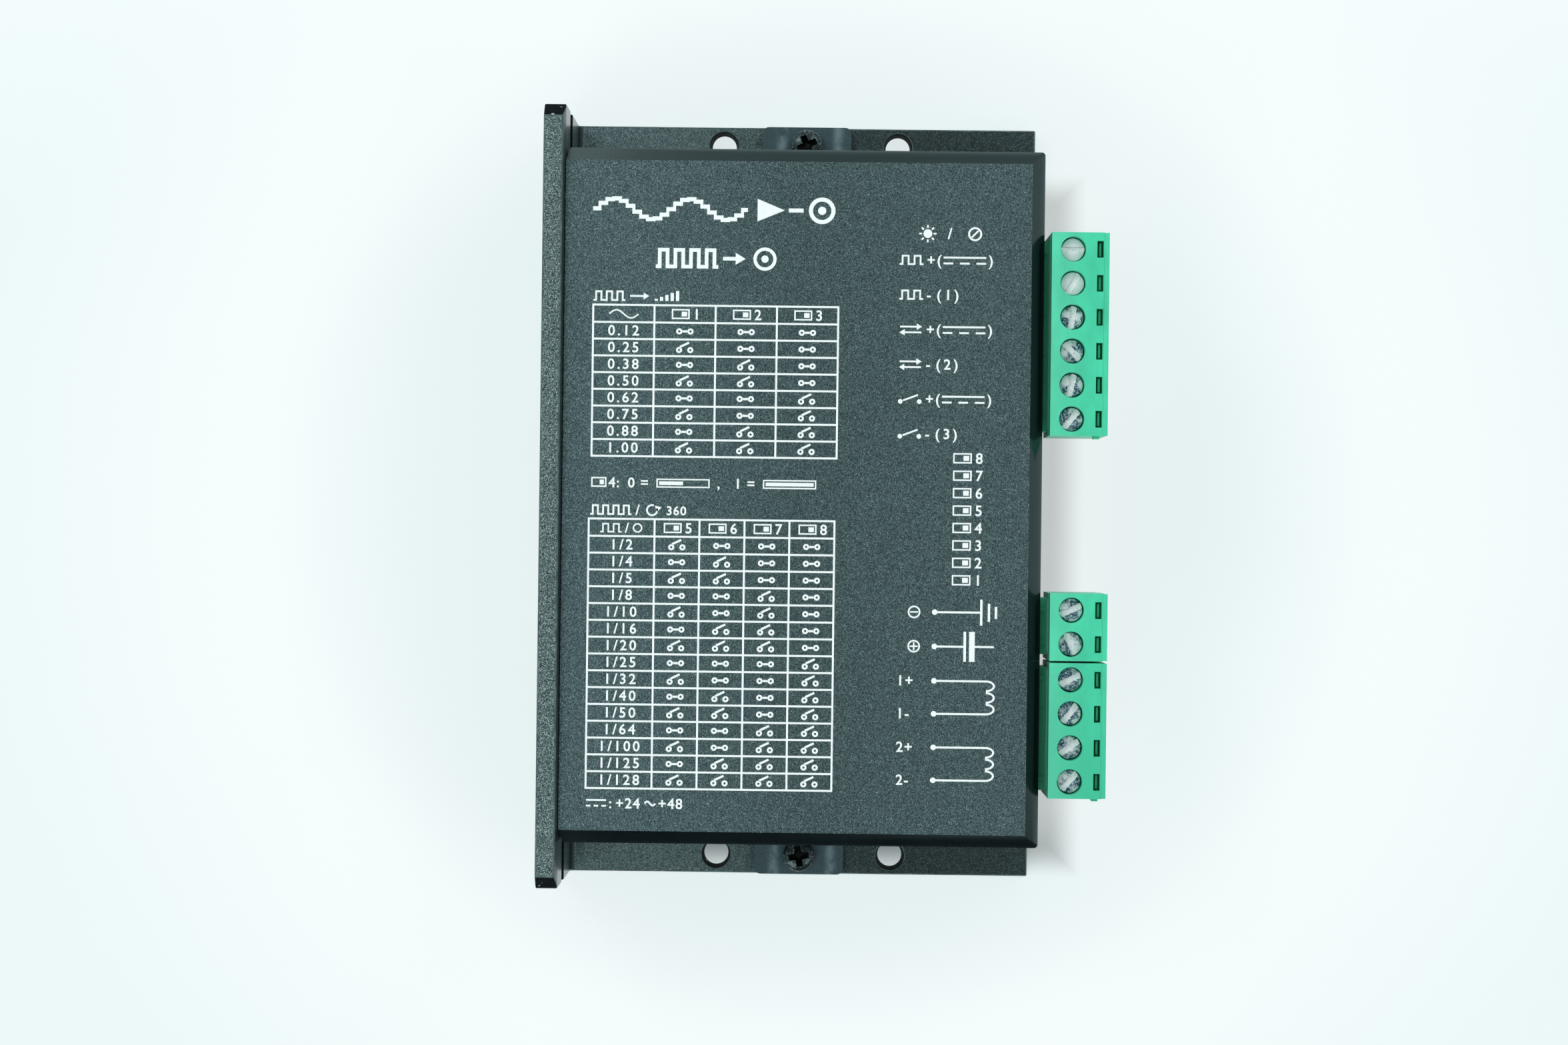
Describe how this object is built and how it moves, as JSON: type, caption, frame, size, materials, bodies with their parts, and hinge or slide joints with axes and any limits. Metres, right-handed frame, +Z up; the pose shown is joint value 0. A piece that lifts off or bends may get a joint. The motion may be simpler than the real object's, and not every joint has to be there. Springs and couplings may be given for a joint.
{
  "type": "stepper driver module",
  "caption": "Boxed stepper motor driver: an L-shaped heatsink with mounting flanges, a folded cover and pull-off screw-terminal plugs along one side.",
  "frame": {"origin": "middle of the whole footprint, plugs included, on the heatsink's underside", "axes": "+Z up out of the mounting surface, +Y along the heatsink, +X from the heatsink's wall towards the plugs' wire entries"},
  "size_m": [0.0852, 0.118, 0.034],
  "materials": {
    "anodised": "matte black anodised, sandblasted",
    "powder_coat": "fine-textured black powder coat with a light speckle",
    "black_screw": "black zinc plated",
    "zinc_steel": "bright zinc plated",
    "terminal_green": "satin moulded plastic",
    "board_green": "solder mask",
    "pad_grey": "matte silicone",
    "package_black": "moulded epoxy",
    "can_sleeve": "printed sleeve",
    "copper_winding": "enamelled copper wire on a ring core",
    "clamp_nickel": "nickel plated",
    "switch_red": "moulded",
    "slider_white": "moulded",
    "light_lens": "tinted clear epoxy"
  },
  "bodies": {
    "module": {"board_post_front": "zinc_steel", "board_post_rear": "zinc_steel", "board_screw_front": "zinc_steel", "board_screw_rear": "zinc_steel", "bridge_driver_a": "package_black", "bridge_driver_b": "package_black", "bridge_screw_a": "zinc_steel", "bridge_screw_b": "zinc_steel", "bulk_capacitor_1": "can_sleeve", "bulk_capacitor_2": "can_sleeve", "circuit_board": "board_green", "control_header": "terminal_green", "cover": "powder_coat", "cover_screw_front": "black_screw", "cover_screw_rear": "black_screw", "filter_choke": "copper_winding", "heatsink": "anodised", "microcontroller": "package_black", "optocoupler_direction": "package_black", "optocoupler_enable": "package_black", "optocoupler_pulse": "package_black", "output_header": "terminal_green", "status_light": "light_lens", "switch_bank": "switch_red", "thermal_pad": "pad_grey"},
    "control_clamp_1": {"control_clamp_1": "clamp_nickel"},
    "control_clamp_2": {"control_clamp_2": "clamp_nickel"},
    "control_clamp_3": {"control_clamp_3": "clamp_nickel"},
    "control_clamp_4": {"control_clamp_4": "clamp_nickel"},
    "control_clamp_5": {"control_clamp_5": "clamp_nickel"},
    "control_clamp_6": {"control_clamp_6": "clamp_nickel"},
    "control_plug": {"control_plug": "terminal_green"},
    "control_screw_1": {"control_screw_1": "zinc_steel"},
    "control_screw_2": {"control_screw_2": "zinc_steel"},
    "control_screw_3": {"control_screw_3": "zinc_steel"},
    "control_screw_4": {"control_screw_4": "zinc_steel"},
    "control_screw_5": {"control_screw_5": "zinc_steel"},
    "control_screw_6": {"control_screw_6": "zinc_steel"},
    "motor_clamp_1": {"motor_clamp_1": "clamp_nickel"},
    "motor_clamp_2": {"motor_clamp_2": "clamp_nickel"},
    "motor_clamp_3": {"motor_clamp_3": "clamp_nickel"},
    "motor_clamp_4": {"motor_clamp_4": "clamp_nickel"},
    "motor_plug": {"motor_plug": "terminal_green"},
    "motor_screw_1": {"motor_screw_1": "zinc_steel"},
    "motor_screw_2": {"motor_screw_2": "zinc_steel"},
    "motor_screw_3": {"motor_screw_3": "zinc_steel"},
    "motor_screw_4": {"motor_screw_4": "zinc_steel"},
    "power_clamp_1": {"power_clamp_1": "clamp_nickel"},
    "power_clamp_2": {"power_clamp_2": "clamp_nickel"},
    "power_plug": {"power_plug": "terminal_green"},
    "power_screw_1": {"power_screw_1": "zinc_steel"},
    "power_screw_2": {"power_screw_2": "zinc_steel"},
    "switch_slider_1": {"switch_slider_1": "slider_white"},
    "switch_slider_2": {"switch_slider_2": "slider_white"},
    "switch_slider_3": {"switch_slider_3": "slider_white"},
    "switch_slider_4": {"switch_slider_4": "slider_white"},
    "switch_slider_5": {"switch_slider_5": "slider_white"},
    "switch_slider_6": {"switch_slider_6": "slider_white"},
    "switch_slider_7": {"switch_slider_7": "slider_white"},
    "switch_slider_8": {"switch_slider_8": "slider_white"}
  },
  "joints": [
    {"name": "control_plug_pull", "type": "slide", "parent": "module", "child": "control_plug", "axis": [1, 0, 0], "range_m": [0, 0.012]},
    {"name": "power_plug_pull", "type": "slide", "parent": "module", "child": "power_plug", "axis": [1, 0, 0], "range_m": [0, 0.012]},
    {"name": "motor_plug_pull", "type": "slide", "parent": "module", "child": "motor_plug", "axis": [1, 0, 0], "range_m": [0, 0.012]},
    {"name": "switch_1_set", "type": "slide", "parent": "module", "child": "switch_slider_1", "axis": [0, 0, 1], "range_m": [0, 0.0018]},
    {"name": "switch_2_set", "type": "slide", "parent": "module", "child": "switch_slider_2", "axis": [0, 0, 1], "range_m": [0, 0.0018]},
    {"name": "switch_3_set", "type": "slide", "parent": "module", "child": "switch_slider_3", "axis": [0, 0, 1], "range_m": [0, 0.0018]},
    {"name": "switch_4_set", "type": "slide", "parent": "module", "child": "switch_slider_4", "axis": [0, 0, 1], "range_m": [0, 0.0018]},
    {"name": "switch_5_set", "type": "slide", "parent": "module", "child": "switch_slider_5", "axis": [0, 0, 1], "range_m": [0, 0.0018]},
    {"name": "switch_6_set", "type": "slide", "parent": "module", "child": "switch_slider_6", "axis": [0, 0, 1], "range_m": [0, 0.0018]},
    {"name": "switch_7_set", "type": "slide", "parent": "module", "child": "switch_slider_7", "axis": [0, 0, 1], "range_m": [0, 0.0018]},
    {"name": "switch_8_set", "type": "slide", "parent": "module", "child": "switch_slider_8", "axis": [0, 0, 1], "range_m": [0, 0.0018]},
    {"name": "control_screw_1_turn", "type": "hinge", "parent": "control_plug", "child": "control_screw_1", "pos_m": [0.03693, 0.0378, 0.0305], "axis": [0, 0, -1], "range_deg": [0, 1729]},
    {"name": "control_clamp_1_rise", "type": "slide", "parent": "control_plug", "child": "control_clamp_1", "axis": [0, 0, 1], "range_m": [0, 0.0024]},
    {"name": "control_screw_2_turn", "type": "hinge", "parent": "control_plug", "child": "control_screw_2", "pos_m": [0.03693, 0.03272, 0.0305], "axis": [0, 0, -1], "range_deg": [0, 1729]},
    {"name": "control_clamp_2_rise", "type": "slide", "parent": "control_plug", "child": "control_clamp_2", "axis": [0, 0, 1], "range_m": [0, 0.0024]},
    {"name": "control_screw_3_turn", "type": "hinge", "parent": "control_plug", "child": "control_screw_3", "pos_m": [0.03693, 0.02764, 0.0305], "axis": [0, 0, -1], "range_deg": [0, 1729]},
    {"name": "control_clamp_3_rise", "type": "slide", "parent": "control_plug", "child": "control_clamp_3", "axis": [0, 0, 1], "range_m": [0, 0.0024]},
    {"name": "control_screw_4_turn", "type": "hinge", "parent": "control_plug", "child": "control_screw_4", "pos_m": [0.03693, 0.02256, 0.0305], "axis": [0, 0, -1], "range_deg": [0, 1729]},
    {"name": "control_clamp_4_rise", "type": "slide", "parent": "control_plug", "child": "control_clamp_4", "axis": [0, 0, 1], "range_m": [0, 0.0024]},
    {"name": "control_screw_5_turn", "type": "hinge", "parent": "control_plug", "child": "control_screw_5", "pos_m": [0.03693, 0.01748, 0.0305], "axis": [0, 0, -1], "range_deg": [0, 1729]},
    {"name": "control_clamp_5_rise", "type": "slide", "parent": "control_plug", "child": "control_clamp_5", "axis": [0, 0, 1], "range_m": [0, 0.0024]},
    {"name": "control_screw_6_turn", "type": "hinge", "parent": "control_plug", "child": "control_screw_6", "pos_m": [0.03693, 0.0124, 0.0305], "axis": [0, 0, -1], "range_deg": [0, 1729]},
    {"name": "control_clamp_6_rise", "type": "slide", "parent": "control_plug", "child": "control_clamp_6", "axis": [0, 0, 1], "range_m": [0, 0.0024]},
    {"name": "motor_screw_1_turn", "type": "hinge", "parent": "motor_plug", "child": "motor_screw_1", "pos_m": [0.03723, -0.02658, 0.0305], "axis": [0, 0, -1], "range_deg": [0, 1729]},
    {"name": "motor_clamp_1_rise", "type": "slide", "parent": "motor_plug", "child": "motor_clamp_1", "axis": [0, 0, 1], "range_m": [0, 0.0024]},
    {"name": "motor_screw_2_turn", "type": "hinge", "parent": "motor_plug", "child": "motor_screw_2", "pos_m": [0.03723, -0.03166, 0.0305], "axis": [0, 0, -1], "range_deg": [0, 1729]},
    {"name": "motor_clamp_2_rise", "type": "slide", "parent": "motor_plug", "child": "motor_clamp_2", "axis": [0, 0, 1], "range_m": [0, 0.0024]},
    {"name": "motor_screw_3_turn", "type": "hinge", "parent": "motor_plug", "child": "motor_screw_3", "pos_m": [0.03723, -0.03674, 0.0305], "axis": [0, 0, -1], "range_deg": [0, 1729]},
    {"name": "motor_clamp_3_rise", "type": "slide", "parent": "motor_plug", "child": "motor_clamp_3", "axis": [0, 0, 1], "range_m": [0, 0.0024]},
    {"name": "motor_screw_4_turn", "type": "hinge", "parent": "motor_plug", "child": "motor_screw_4", "pos_m": [0.03723, -0.04182, 0.0305], "axis": [0, 0, -1], "range_deg": [0, 1729]},
    {"name": "motor_clamp_4_rise", "type": "slide", "parent": "motor_plug", "child": "motor_clamp_4", "axis": [0, 0, 1], "range_m": [0, 0.0024]},
    {"name": "power_screw_1_turn", "type": "hinge", "parent": "power_plug", "child": "power_screw_1", "pos_m": [0.03723, -0.01618, 0.0305], "axis": [0, 0, -1], "range_deg": [0, 1729]},
    {"name": "power_clamp_1_rise", "type": "slide", "parent": "power_plug", "child": "power_clamp_1", "axis": [0, 0, 1], "range_m": [0, 0.0024]},
    {"name": "power_screw_2_turn", "type": "hinge", "parent": "power_plug", "child": "power_screw_2", "pos_m": [0.03723, -0.02126, 0.0305], "axis": [0, 0, -1], "range_deg": [0, 1729]},
    {"name": "power_clamp_2_rise", "type": "slide", "parent": "power_plug", "child": "power_clamp_2", "axis": [0, 0, 1], "range_m": [0, 0.0024]}
  ],
  "couplings": [
    {"joint": "control_screw_1_turn", "follows": "control_clamp_1_rise", "rad_per_m": 12566},
    {"joint": "control_screw_2_turn", "follows": "control_clamp_2_rise", "rad_per_m": 12566},
    {"joint": "control_screw_3_turn", "follows": "control_clamp_3_rise", "rad_per_m": 12566},
    {"joint": "control_screw_4_turn", "follows": "control_clamp_4_rise", "rad_per_m": 12566},
    {"joint": "control_screw_5_turn", "follows": "control_clamp_5_rise", "rad_per_m": 12566},
    {"joint": "control_screw_6_turn", "follows": "control_clamp_6_rise", "rad_per_m": 12566},
    {"joint": "motor_screw_1_turn", "follows": "motor_clamp_1_rise", "rad_per_m": 12566},
    {"joint": "motor_screw_2_turn", "follows": "motor_clamp_2_rise", "rad_per_m": 12566},
    {"joint": "motor_screw_3_turn", "follows": "motor_clamp_3_rise", "rad_per_m": 12566},
    {"joint": "motor_screw_4_turn", "follows": "motor_clamp_4_rise", "rad_per_m": 12566},
    {"joint": "power_screw_1_turn", "follows": "power_clamp_1_rise", "rad_per_m": 12566},
    {"joint": "power_screw_2_turn", "follows": "power_clamp_2_rise", "rad_per_m": 12566}
  ]
}
